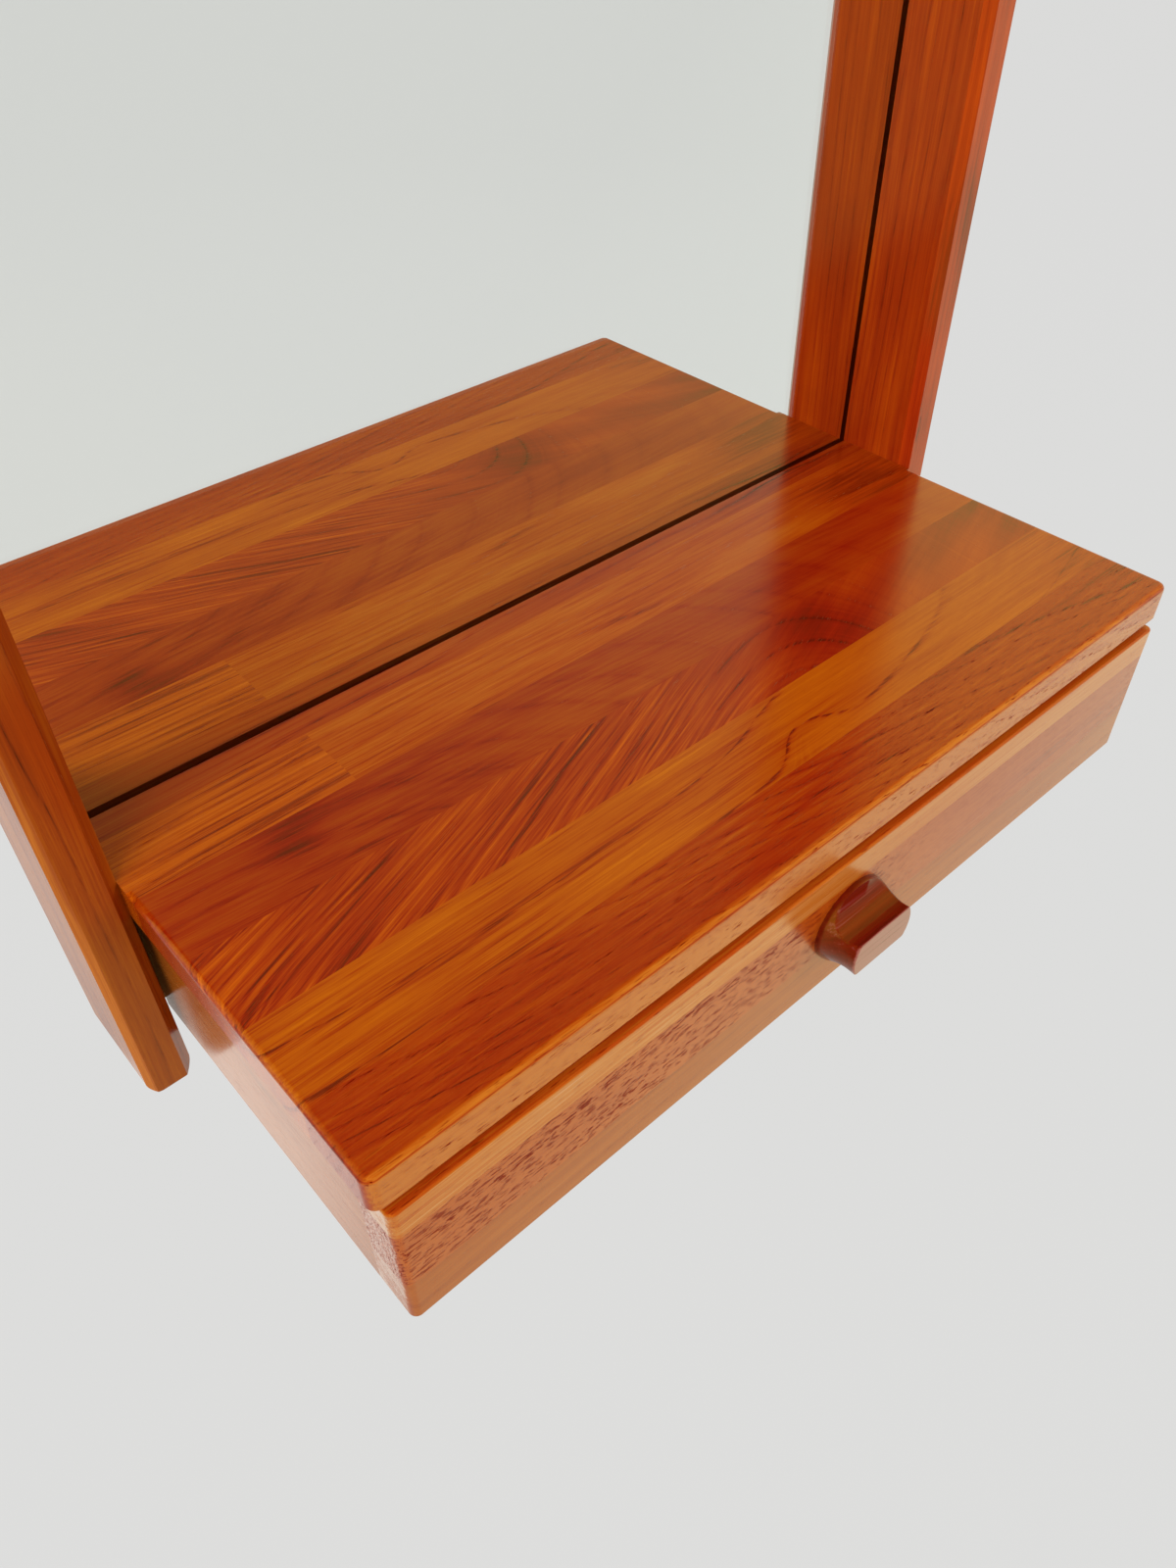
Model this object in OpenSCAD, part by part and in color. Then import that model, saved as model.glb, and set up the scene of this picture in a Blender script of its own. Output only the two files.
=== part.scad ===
// Wall mirror with a shelf and one drawer, in solid teak. Millimetres, +Z up.
// X runs to the right as seen from the room and Y runs back towards the wall.
// The wall is the plane Y = 0, and the origin lies midway between the two hanging holes.

/* [Frame] */
// Clear width between the two stiles
clear_w = 400; // [340:10:520]
// Length of a stile
stile_h = 780; // [640:10:1000]
// Thickness of a stile, seen from the front
stile_w = 18; // [16:1:26]
// Depth of a stile, from the wall to its front face
stile_d = 45; // [40:1:60]
// Width of the flat planed on the inner front edge of a stile
stile_inner_chamfer = 4; // [1:0.5:6]
// Width of the flat planed on the outer front edge of a stile
stile_outer_chamfer = 2.5; // [1:0.5:5]
// Radius of the corners at a stile's ends, seen from the front
stile_end_r = 5; // [2:0.5:7]
// How far the stiles run on below the drawer and above the top rail
stile_overrun = 16; // [5:1:40]
// Thickness of both rails
rail_t = 22; // [18:1:28]
// Height of the top rail
top_rail_h = 45; // [40:1:70]
// Width of the flat planed on the front edges of the rails
rail_chamfer = 1.5; // [0.5:0.5:3]

/* [Mirror] */
// Thickness of the mirror glass
glass_t = 3; // [2:0.5:5]
// Thickness of the silver and its backing paint
silver_t = 0.2; // [0.1:0.1:0.4]
// Thickness of the hardboard behind the glass
back_t = 4; // [2:0.5:5]
// How far the hardboard lies in from the wall
back_inset = 0.7; // [0.6:0.1:2]
// Width of the rebate that holds the glass
rebate_w = 8; // [6:0.5:10]
// Space left beside and above the glass
glass_play = 0.5; // [0.2:0.1:1]
// Length of a glazing sprig
sprig_l = 12; // [8:1:14]
// Width of a glazing sprig
sprig_w = 8; // [5:1:12]
// Thickness of a glazing sprig
sprig_t = 0.5; // [0.3:0.1:0.6]

/* [Shelf] */
// Depth of the shelf board, from back to front
shelf_d = 172; // [160:1:220]
// Thickness of the shelf board
shelf_t = 16; // [14:0.5:22]
// Gap between the shelf's back edge and the glass
shelf_gap = 0.3; // [0.2:0.1:2]
// Width of the narrow strip along the shelf's back edge
strip_w = 11.4; // [6:0.1:16]
// Width of a full stave of the shelf
stave_w = 32.8; // [26:0.1:36]
// Distance from the shelf's left end to the butt joint in its first stave
stave_break = 83; // [40:1:300]
// Radius of the shelf's front corners, seen from above
shelf_corner_r = 4; // [3:0.5:12]
// Radius of the shelf's rounded upper edge
shelf_edge_r = 2.5; // [1:0.5:3]

/* [Drawer] */
// Height of the drawer front and of its sides
drawer_h = 64; // [56:1:110]
// Gap between the shelf and the top of the drawer
drawer_gap = 4; // [2:0.5:8]
// How far each end of the drawer lies in from the end of the shelf
drawer_inset = 3.3; // [1:0.1:10]
// How far the drawer front stands forward of the shelf
drawer_proud = 1.6; // [0:0.1:6]
// Thickness of the drawer front
front_t = 18; // [14:1:24]
// Height of the upper stave of the drawer front
front_upper_h = 13; // [8:1:18]
// Height of the middle stave of the drawer front
front_middle_h = 29; // [15:1:34]
// Radius of the drawer front's upright edges
front_edge_r = 3; // [1.5:0.5:6]
// Radius of the drawer's eased upper and lower edges
drawer_ease_r = 1; // [0.4:0.2:1.4]
// Thickness of a drawer side
side_t = 12; // [11:1:16]
// Height of the lower board of a drawer side
side_lower_h = 32; // [24:1:36]
// Thickness of the drawer back
drawer_back_t = 10; // [8:1:14]
// Thickness of the drawer bottom
bottom_t = 4; // [3:0.5:6]
// Height of the drawer bottom above the lower edge of the sides
bottom_lift = 5; // [4:0.5:9]
// Depth of the grooves that hold the drawer bottom
bottom_groove_d = 5; // [4:0.5:6]
// Space left between the drawer bottom and the ends of its grooves
bottom_play = 0.5; // [0.2:0.1:1]
// Thickness of the stop pads behind the drawer
stop_t = 3; // [2:0.5:6]
// Width and height of a stop pad
stop_w = 22; // [12:1:30]

/* [Runners] */
// Thickness of a runner's upright web
runner_t = 9; // [8:1:14]
// Gap between a runner's web and the drawer side
runner_gap = 1; // [0.5:0.1:2]
// How far a runner's foot reaches into its groove
runner_reach = 5; // [3:0.5:5.5]
// Depth of the groove in a drawer side
groove_d = 6; // [5.8:0.1:7]
// Height of the groove in a drawer side
groove_h = 8; // [6:0.5:10]
// Distance from the top of a drawer side down to its groove
groove_drop = 12; // [10:0.5:14]
// Clearance above and below a runner's foot in its groove
slide_gap = 0.3; // [0.2:0.05:0.5]
// Distance from a runner's front end to the drawer front
runner_end_gap = 3; // [1:0.5:10]
// Distance from a runner's end to its outer screws
runner_screw_edge = 14; // [8:1:25]

/* [Pull] */
// Radius of the pull where it meets the drawer front
pull_r = 18; // [15:0.5:22]
// Radius of the pull's front face
pull_front_r = 15.8; // [12:0.1:17]
// How far the pull stands out from the drawer front
pull_d = 16; // [14:0.5:22]
// Thickness of the round foot of the pull
pull_foot_t = 1.8; // [1:0.1:3]
// Radius of the hollow turned round the pull
pull_cove_r = 22; // [16:1:40]
// Half the height of the flat that the two finger scoops leave on the front face
pull_lip = 8.2; // [6:0.1:10]
// Distance from the pull's axis to the axis of a finger scoop
scoop_offset = 15; // [14:0.5:20]
// Distance from the drawer front to the axis of a finger scoop
scoop_depth = 10.4; // [9.8:0.2:12]

/* [Fasteners] */
// Diameter of the dowels that join the rails and the shelf to the stiles
dowel_d = 8; // [6:0.5:10]
// Length of the end of such a dowel that lies in a stile
dowel_in_stile = 11; // [8:1:13]
// Length of the other end of such a dowel
dowel_in_rail = 15; // [10:1:16]
// Distance from a rail's edge or rebate to its dowels
dowel_edge = 12; // [8:0.5:14]
// Diameter of the small dowels
pin_d = 6; // [4:0.5:7]
// Length of a small dowel
pin_l = 24; // [16:1:26]
// Number of dowels between the shelf and the lower rail
shelf_pins = 3; // [2:1:5]
// Radial clearance round a dowel or a screw in its hole
glue_gap = 0.05; // [0.02:0.01:0.1]
// Shank diameter of the runner screws
runner_screw_d = 3.5; // [3:0.1:4]
// Length of the runner screws
runner_screw_l = 34; // [30:1:36]
// Shank diameter of the pull's screw
pull_screw_d = 4; // [3:0.1:5]
// Length of the pull's screw
pull_screw_l = 28; // [24:1:30]
// Diameter of the panel pins under the drawer
nail_d = 1.6; // [1.2:0.1:2]
// Length of the panel pins under the drawer
nail_l = 16; // [12:1:22]

/* [Hanging] */
// Distance between the two hanging holes
hang_span = 300; // [180:10:310]
// Diameter of a hanging hole
hang_hole_d = 8; // [6:0.5:10]
// Length of a hanger plate
plate_w = 58; // [50:1:64]
// Height of a hanger plate
plate_h = 20; // [16:1:22]
// Thickness of a hanger plate
plate_t = 1.5; // [1:0.1:2.5]
// Distance between the two screws of a hanger plate
plate_screw_span = 40; // [34:1:42]
// Shank diameter of the hanger screws
plate_screw_d = 3; // [2.5:0.1:3.5]
// Length of the hanger screws
plate_screw_l = 13; // [10:1:15]
// Diameter of the pocket behind a hanging hole
pocket_d = 16; // [13:1:18]
// Depth of the pocket behind a hanging hole
pocket_depth = 11; // [8:1:13]

/* [Hidden] */
$fn = 64;

// How far a cutter runs past the face that it opens
past = 1;
// Colours of the finished wood, the board and the metal
teak_deep = "#8A3410";
teak_mid = "#A3420C";
teak_warm = "#B45A18";
teak_light = "#C98A40";
teak_dark = "#6A1A0C";
beech = "#C9A477";
hardboard = "#6E4A30";
steel = "#9A9C9E";
brass = "#B08D45";

// Depths, measured forwards from the wall
rebate_d = glass_t + silver_t + back_t + back_inset;
glass_y = -rebate_d;
silver_y = glass_y + glass_t;
back_y = silver_y + silver_t;
shelf_back_y = glass_y - shelf_gap;
shelf_front_y = shelf_back_y - shelf_d;
front_y = shelf_front_y - drawer_proud;
front_back_y = front_y + front_t;
drawer_end_y = -rail_t - stop_t;

// Heights, measured from the hanging holes
hang_h = stile_h - stile_overrun - (top_rail_h - rebate_w) / 2;
foot_z = -hang_h;
head_z = foot_z + stile_h;
top_rail_z = head_z - stile_overrun;
top_rail_low_z = top_rail_z - top_rail_h;
drawer_low_z = foot_z + stile_overrun;
drawer_top_z = drawer_low_z + drawer_h;
shelf_low_z = drawer_top_z + drawer_gap;
shelf_top_z = shelf_low_z + shelf_t;

// The glass stands on the floor of the lower rail's rebate
glass_low_z = shelf_low_z - rebate_w;
rebate_top_z = top_rail_low_z + rebate_w;
glass_top_z = rebate_top_z - glass_play;
glass_w = clear_w + 2 * (rebate_w - glass_play);

// Drawer box
half_w = clear_w / 2;
drawer_w = clear_w - 2 * drawer_inset;
side_x = drawer_w / 2 - side_t;
side_joint_z = drawer_low_z + side_lower_h;
groove_top_z = drawer_top_z - groove_drop;
groove_low_z = groove_top_z - groove_h;
bottom_low_z = drawer_low_z + bottom_lift;
bottom_top_z = bottom_low_z + bottom_t;
back_clear = 2;
drawer_back_top_z = groove_low_z - back_clear;
front_joint_a_z = drawer_top_z - front_upper_h;
front_joint_b_z = front_joint_a_z - front_middle_h;

// Runners
runner_low_z = groove_low_z + slide_gap;
runner_foot_z = groove_top_z - slide_gap;
runner_x = side_x - runner_gap - runner_t;
runner_back_y = -rail_t;
runner_front_y = front_back_y + runner_end_gap;
runner_screw_x = runner_x + runner_t / 2;
runner_screw_ys = [
    runner_back_y - runner_screw_edge,
    (runner_back_y + runner_front_y) / 2,
    runner_front_y + runner_screw_edge
];

// Joints between the shelf's staves, from the back edge to the front edge
stave_start_y = shelf_back_y - strip_w;
stave_ys = [for (i = [0:5]) i < 5 ? stave_start_y - i * stave_w : shelf_front_y];
stave_break_x = -half_w + stave_break;

// Dowel places: [y, z] beside the stiles
rail_dowel_y = -(rail_t + rebate_d) / 2;
top_rail_dowels_yz = [
    [rail_dowel_y, top_rail_z - dowel_edge],
    [rail_dowel_y, rebate_top_z + dowel_edge]
];
lower_rail_dowels_yz = [
    [rail_dowel_y, glass_low_z - dowel_edge],
    [rail_dowel_y, drawer_low_z + dowel_edge]
];
shelf_dowel_front = 9;
shelf_dowel_pitch = 12;
shelf_dowels_yz = [
    [-stile_d + shelf_dowel_front, shelf_low_z + shelf_t / 2],
    [-stile_d + shelf_dowel_front + shelf_dowel_pitch, shelf_low_z + shelf_t / 2]
];
shelf_pin_y = (-rail_t + shelf_back_y) / 2;
shelf_pin_up = 10;
shelf_pin_inset = 70;
shelf_pin_xs = [
    for (i = [0:shelf_pins - 1])
        -half_w + shelf_pin_inset + i * (clear_w - 2 * shelf_pin_inset) / (shelf_pins - 1)
];

// Drawer dowel places
drawer_dowel_x = drawer_w / 2 - side_t / 2;
drawer_dowel_top = 6;
front_dowel_zs = [drawer_top_z - drawer_dowel_top, (bottom_top_z + side_joint_z) / 2];
front_dowel_in = 12;
back_dowel_l = 18;
back_dowel_in = 8;
back_dowel_edge = 5;
back_dowel_y = drawer_end_y - drawer_back_t / 2;
back_dowel_zs = [drawer_back_top_z - back_dowel_edge, bottom_top_z + back_dowel_edge + pin_d / 2];

// Pull: the hollow's circle passes through the foot's rim and the front face's rim
pull_z = (drawer_low_z + drawer_top_z) / 2;
pull_rise = [pull_front_r - pull_r, pull_d - pull_foot_t];
pull_chord = norm(pull_rise);
pull_sag = sqrt(pull_cove_r * pull_cove_r - pull_chord * pull_chord / 4);
pull_cove_at = [
    (pull_r + pull_front_r) / 2 + pull_sag * pull_rise[1] / pull_chord,
    (pull_foot_t + pull_d) / 2 - pull_sag * pull_rise[0] / pull_chord
];
scoop_r = norm([pull_d - scoop_depth, scoop_offset - pull_lip]);

// Screw heads are this many shank diameters wide, at the usual 90 degrees
head_ratio = 2;
screw_sink = 0.3;
slot_w = 0.9;
slot_d = 0.8;
nail_head_d = 3;
nail_head_t = 0.8;

// Small dowel or stout dowel along +Z, with its ends eased
module dowel(d, l) {
    ease = 1;
    cylinder(h = ease, d1 = d - 2 * ease, d2 = d);
    translate([0, 0, ease]) cylinder(h = l - 2 * ease, d = d);
    translate([0, 0, l - ease]) cylinder(h = ease, d1 = d, d2 = d - 2 * ease);
}

// Countersunk wood screw along +Z, its slotted head flush with Z = 0
module wood_screw(d, l) {
    head_h = d * (head_ratio - 1) / 2;
    tip = d;
    difference() {
        union() {
            cylinder(h = head_h, d1 = d * head_ratio, d2 = d);
            cylinder(h = l - tip, d = d);
            translate([0, 0, l - tip]) cylinder(h = tip, d1 = d, d2 = d / 4);
        }
        translate([-d * head_ratio, -slot_w / 2, -past]) cube([2 * d * head_ratio, slot_w, slot_d + past]);
    }
}

// Hole for such a screw, sunk a little below the face at Z = -screw_sink
module screw_hole(d, l) {
    head_h = d * (head_ratio - 1) / 2;
    cylinder(h = l + glue_gap, r = d / 2 + glue_gap);
    cylinder(h = head_h, r1 = d * head_ratio / 2 + glue_gap, r2 = d / 2 + glue_gap);
    translate([0, 0, -screw_sink - past])
        cylinder(h = screw_sink + past, r = d * head_ratio / 2 + glue_gap);
}

// Box between two opposite corners
module block(a, b) {
    translate(a) cube(b - a);
}

// Rectangle with rounded corners, its lower left corner at the origin
module round_rect(w, h, r) {
    translate([r, 0]) square([w - 2 * r, h]);
    translate([0, r]) square([w, h - 2 * r]);
    for (x = [r, w - r]) for (y = [r, h - r]) translate([x, y]) circle(r);
}

// Puts its children at each [y, z] on both stiles' inner faces, with +Z out into the right stile
module at_stiles(yz) {
    for (s = [0, 1]) mirror([s, 0, 0])
        for (p = yz) translate([half_w, p[0], p[1]]) rotate([0, 90, 0]) children();
}

// Stout dowels that lie partly in the stiles and partly in what stands between them
module stile_dowels(yz) {
    at_stiles(yz) translate([0, 0, -dowel_in_rail]) dowel(dowel_d, dowel_in_rail + dowel_in_stile);
}

// Their holes
module stile_dowel_holes(yz) {
    at_stiles(yz) translate([0, 0, -dowel_in_rail - glue_gap])
        cylinder(h = dowel_in_rail + dowel_in_stile + 2 * glue_gap, r = dowel_d / 2 + glue_gap);
}

// Right stile: planed section, ends rounded in front view, rebate stopped at the rails
module stile() {
    difference() {
        translate([half_w, 0, foot_z]) intersection() {
            linear_extrude(stile_h) polygon([
                [0, 0],
                [0, -stile_d + stile_inner_chamfer],
                [stile_inner_chamfer, -stile_d],
                [stile_w - stile_outer_chamfer, -stile_d],
                [stile_w, -stile_d + stile_outer_chamfer],
                [stile_w, 0]
            ]);
            rotate([90, 0, 0]) linear_extrude(stile_d) round_rect(stile_w, stile_h, stile_end_r);
        }
        block([half_w - past, -rebate_d, glass_low_z], [half_w + rebate_w, past, rebate_top_z]);
        stile_dowel_holes(top_rail_dowels_yz);
        stile_dowel_holes(lower_rail_dowels_yz);
        stile_dowel_holes(shelf_dowels_yz);
    }
}

module stile_left() {
    color(teak_deep) mirror([1, 0, 0]) stile();
}

module stile_right() {
    color(teak_deep) stile();
}

// Rail between the stiles, its two front edges planed, from z0 up to z1
module rail(z0, z1) {
    translate([-half_w, 0, 0]) rotate([90, 0, 90]) linear_extrude(clear_w) polygon([
        [0, z0],
        [-rail_t + rail_chamfer, z0],
        [-rail_t, z0 + rail_chamfer],
        [-rail_t, z1 - rail_chamfer],
        [-rail_t + rail_chamfer, z1],
        [0, z1]
    ]);
}

// Rebate for the glass across a rail, from z0 up to z1
module rail_rebate(z0, z1) {
    block([-half_w - past, -rebate_d, z0], [half_w + past, past, z1]);
}

module top_rail() {
    color(teak_mid) difference() {
        rail(top_rail_low_z, top_rail_z);
        rail_rebate(top_rail_low_z - past, rebate_top_z);
        stile_dowel_holes(top_rail_dowels_yz);
        for (s = [-1, 1]) translate([s * hang_span / 2, 0, 0]) {
            translate([0, past, 0]) plate_outline(plate_t + past, glue_gap);
            rotate([90, 0, 0]) cylinder(h = pocket_depth, d = pocket_d);
            at_plate_screws() screw_hole(plate_screw_d, plate_screw_l);
        }
    }
}

// The shelf's dowels stand in the top of the lower rail
module lower_rail() {
    color(teak_mid) difference() {
        rail(drawer_low_z, shelf_low_z);
        rail_rebate(glass_low_z, shelf_low_z + past);
        stile_dowel_holes(lower_rail_dowels_yz);
        shelf_pin_holes();
    }
}

module top_rail_dowels() {
    color(beech) stile_dowels(top_rail_dowels_yz);
}

module lower_rail_dowels() {
    color(beech) stile_dowels(lower_rail_dowels_yz);
}

// Sheet as wide and high as the glass, from y0 back to y1
module sheet(y0, y1) {
    block([-glass_w / 2, y0, glass_low_z], [glass_w / 2, y1, glass_top_z]);
}

module mirror_glass() {
    color("#CFE0DC", 0.4) sheet(glass_y, silver_y);
}

module mirror_silvering() {
    color("#C8CCCE") sheet(silver_y, back_y);
}

module back_panel() {
    color(hardboard) sheet(back_y, back_y + back_t);
}

// Diamond-shaped sprig, lying on the hardboard and pointing along +X
module sprig() {
    translate([0, -back_inset + sprig_t, 0]) rotate([90, 0, 0]) linear_extrude(sprig_t)
        polygon([[-sprig_l / 2, 0], [0, -sprig_w / 2], [sprig_l / 2, 0], [0, sprig_w / 2]]);
}

// Sprigs pushed into the walls of the rebate: four up each side, three along each rail
module glazing_sprigs() {
    side_count = 4;
    rail_count = 3;
    rebate_h = rebate_top_z - glass_low_z;
    color(steel) {
        for (s = [0, 1]) mirror([s, 0, 0]) for (i = [1:side_count])
            translate([half_w + rebate_w, 0, glass_low_z + i * rebate_h / (side_count + 1)]) sprig();
        for (z = [glass_low_z, rebate_top_z]) for (i = [1:rail_count])
            translate([-half_w + i * clear_w / (rail_count + 1), 0, z]) rotate([0, 90, 0]) sprig();
    }
}

// Waste outside a quarter round of radius r: the round is centred on the origin and faces +X +Y
module quarter_waste(r) {
    difference() {
        square(r + past);
        circle(r);
    }
}

// Waste outside the two front corners of a board of width w and height h, rounded in plan
module corner_waste(w, y0, h, corner_r) {
    for (s = [0, 1]) mirror([s, 0, 0])
        translate([w / 2 - corner_r, y0 + corner_r, -past]) mirror([0, 1, 0])
            linear_extrude(h + 2 * past) quarter_waste(corner_r);
}

// Waste outside the rounded upper edge of such a board, whose top is Z = 0: along its front,
// round its corners and back along its ends to y1
module edge_waste(w, y0, y1, corner_r, r) {
    corner_x = w / 2 - corner_r;
    for (s = [0, 1]) mirror([s, 0, 0]) {
        translate([corner_x, y0 + corner_r, -r]) rotate([0, 0, -90]) rotate_extrude(angle = 90)
            translate([corner_r - r, 0]) quarter_waste(r);
        translate([w / 2 - r, y1, -r]) rotate([90, 0, 0])
            linear_extrude(y1 - y0 - corner_r) quarter_waste(r);
    }
    translate([-corner_x, y0 + r, -r]) rotate([90, 0, 90])
        linear_extrude(2 * corner_x) mirror([1, 0, 0]) quarter_waste(r);
}

// Whole shelf board, with its joints to the frame and to the runners cut
module shelf_board() {
    difference() {
        block([-half_w, shelf_front_y, shelf_low_z], [half_w, shelf_back_y, shelf_top_z]);
        translate([0, 0, shelf_low_z]) corner_waste(clear_w, shelf_front_y, shelf_t, shelf_corner_r);
        // the rounding of the upper edge stops just in front of the stiles
        translate([0, 0, shelf_top_z])
            edge_waste(clear_w, shelf_front_y, -stile_d - shelf_edge_r, shelf_corner_r, shelf_edge_r);
        stile_dowel_holes(shelf_dowels_yz);
        shelf_pin_holes();
        at_runner_screws() screw_hole(runner_screw_d, runner_screw_l);
    }
}

// Part of the shelf board from x0 to x1 and from y0 forward to y1
module shelf_part(x0, x1, y0, y1) {
    intersection() {
        shelf_board();
        block([x0, y1, shelf_low_z - past], [x1, y0, shelf_top_z + past]);
    }
}

// Whole stave number i, counted forwards from the narrow strip
module stave(i) {
    shelf_part(-half_w, half_w, stave_ys[i - 1], stave_ys[i]);
}

module shelf_rear_strip() {
    color(teak_mid) shelf_part(-half_w, half_w, shelf_back_y, stave_start_y);
}

module shelf_stave_1_left() {
    color(teak_warm) shelf_part(-half_w, stave_break_x, stave_ys[0], stave_ys[1]);
}

module shelf_stave_1_right() {
    color(teak_mid) shelf_part(stave_break_x, half_w, stave_ys[0], stave_ys[1]);
}

module shelf_stave_2() {
    color(teak_mid) stave(2);
}

module shelf_stave_3() {
    color(teak_deep) stave(3);
}

module shelf_stave_4() {
    color(teak_warm) stave(4);
}

module shelf_stave_5() {
    color(teak_deep) stave(5);
}

module shelf_end_dowels() {
    color(beech) stile_dowels(shelf_dowels_yz);
}

// Dowels that stand in the lower rail and reach up into the shelf
module shelf_rail_dowels() {
    color(beech) for (x = shelf_pin_xs)
        translate([x, shelf_pin_y, shelf_low_z + shelf_pin_up - pin_l]) dowel(pin_d, pin_l);
}

module shelf_pin_holes() {
    for (x = shelf_pin_xs)
        translate([x, shelf_pin_y, shelf_low_z + shelf_pin_up - pin_l - glue_gap])
            cylinder(h = pin_l + 2 * glue_gap, r = pin_d / 2 + glue_gap);
}

// Puts its children under the runners, with +Z up into the shelf
module at_runner_screws() {
    for (s = [-1, 1]) for (y = runner_screw_ys)
        translate([s * runner_screw_x, y, runner_low_z + screw_sink]) children();
}

// Right runner: an upright web under the shelf, with a foot that carries the drawer side
module runner() {
    foot_x = side_x + runner_reach;
    difference() {
        union() {
            block([runner_x, runner_front_y, runner_low_z],
                [runner_x + runner_t, runner_back_y, shelf_low_z]);
            block([runner_x, runner_front_y, runner_low_z], [foot_x, runner_back_y, runner_foot_z]);
        }
        at_runner_screws() screw_hole(runner_screw_d, runner_screw_l);
    }
}

module runner_left() {
    color(beech) mirror([1, 0, 0]) runner();
}

module runner_right() {
    color(beech) runner();
}

module runner_screws() {
    color(brass) at_runner_screws() wood_screw(runner_screw_d, runner_screw_l);
}

// Pads on the lower rail that stop the closed drawer
module drawer_stops() {
    stop_z = (drawer_back_top_z + bottom_top_z - stop_w) / 2;
    color(beech) for (s = [-1, 1])
        translate([s * drawer_w / 4 - stop_w / 2, drawer_end_y, stop_z]) cube([stop_w, stop_t, stop_w]);
}

// Waste outside the eased upper and lower edges of the drawer, which run on from front to sides
module drawer_edge_waste() {
    for (s = [0, 1]) translate([0, 0, s == 0 ? drawer_top_z : drawer_low_z]) mirror([0, 0, s])
        edge_waste(drawer_w, front_y, drawer_end_y + past, front_edge_r, drawer_ease_r);
}

// Whole drawer front: edges rounded, groove for the bottom, holes for dowels and screw
module drawer_front_board() {
    groove_x = side_x + bottom_groove_d;
    difference() {
        block([-drawer_w / 2, front_y, drawer_low_z], [drawer_w / 2, front_back_y, drawer_top_z]);
        translate([0, 0, drawer_low_z]) corner_waste(drawer_w, front_y, drawer_h, front_edge_r);
        drawer_edge_waste();
        block([-groove_x, front_back_y - bottom_groove_d, bottom_low_z],
            [groove_x, front_back_y + past, bottom_top_z]);
        at_front_dowels() cylinder(h = pin_l + 2 * glue_gap, r = pin_d / 2 + glue_gap);
        at_pull_screw() screw_hole(pull_screw_d, pull_screw_l);
    }
}

// Part of the drawer front between two heights
module drawer_front_part(z0, z1) {
    intersection() {
        drawer_front_board();
        block([-drawer_w, front_y - past, z0], [drawer_w, front_back_y + past, z1]);
    }
}

module drawer_front_upper() {
    color(teak_light) drawer_front_part(front_joint_a_z, drawer_top_z);
}

module drawer_front_middle() {
    color(teak_warm) drawer_front_part(front_joint_b_z, front_joint_a_z);
}

module drawer_front_lower() {
    color(teak_light) drawer_front_part(drawer_low_z, front_joint_b_z);
}

// Puts its children in the front corners, with +Z running forwards out of a drawer side
module at_front_dowels() {
    for (s = [-1, 1]) for (z = front_dowel_zs)
        translate([s * drawer_dowel_x, front_back_y + pin_l - front_dowel_in, z])
            rotate([90, 0, 0]) children();
}

// Puts its children in the back corners, with +Z running outwards into a drawer side
module at_back_dowels() {
    for (s = [0, 1]) mirror([s, 0, 0]) for (z = back_dowel_zs)
        translate([side_x + back_dowel_in - back_dowel_l, back_dowel_y, z]) rotate([0, 90, 0]) children();
}

// Right drawer side: runner groove, bottom groove and dowel holes
module drawer_side() {
    difference() {
        block([side_x, front_back_y, drawer_low_z], [drawer_w / 2, drawer_end_y, drawer_top_z]);
        drawer_edge_waste();
        block([side_x - past, front_back_y - past, groove_low_z],
            [side_x + groove_d, drawer_end_y + past, groove_top_z]);
        block([side_x - past, front_back_y - past, bottom_low_z],
            [side_x + bottom_groove_d, drawer_end_y + past, bottom_top_z]);
        at_front_dowels() cylinder(h = pin_l + 2 * glue_gap, r = pin_d / 2 + glue_gap);
        at_back_dowels() cylinder(h = back_dowel_l + glue_gap, r = pin_d / 2 + glue_gap);
    }
}

// Part of the right drawer side between two heights
module drawer_side_part(z0, z1) {
    intersection() {
        drawer_side();
        block([0, front_back_y - past, z0], [drawer_w, drawer_end_y + past, z1]);
    }
}

module drawer_side_left_upper() {
    color(teak_light) mirror([1, 0, 0]) drawer_side_part(side_joint_z, drawer_top_z);
}

module drawer_side_left_lower() {
    color(teak_warm) mirror([1, 0, 0]) drawer_side_part(drawer_low_z, side_joint_z);
}

module drawer_side_right_upper() {
    color(teak_light) drawer_side_part(side_joint_z, drawer_top_z);
}

module drawer_side_right_lower() {
    color(teak_warm) drawer_side_part(drawer_low_z, side_joint_z);
}

// Low back that passes under the runners and stands on the drawer bottom
module drawer_back() {
    color(beech) difference() {
        block([-side_x, drawer_end_y - drawer_back_t, bottom_top_z],
            [side_x, drawer_end_y, drawer_back_top_z]);
        at_back_dowels() translate([0, 0, -glue_gap])
            cylinder(h = back_dowel_l, r = pin_d / 2 + glue_gap);
    }
}

module drawer_bottom() {
    reach = bottom_groove_d - bottom_play;
    color(beech) block([-side_x - reach, front_back_y - reach, bottom_low_z],
        [side_x + reach, drawer_end_y, bottom_top_z]);
}

module drawer_front_dowels() {
    color(beech) at_front_dowels() translate([0, 0, glue_gap]) dowel(pin_d, pin_l);
}

module drawer_back_dowels() {
    color(beech) at_back_dowels() dowel(pin_d, back_dowel_l);
}

// Panel pins driven up through the drawer bottom into the back
module bottom_pins() {
    nail_count = 4;
    color(steel) for (i = [1:nail_count])
        translate([-side_x + i * 2 * side_x / (nail_count + 1), back_dowel_y, bottom_low_z]) {
            cylinder(h = nail_l, d = nail_d);
            cylinder(h = nail_head_t, d = nail_head_d);
        }
}

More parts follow.
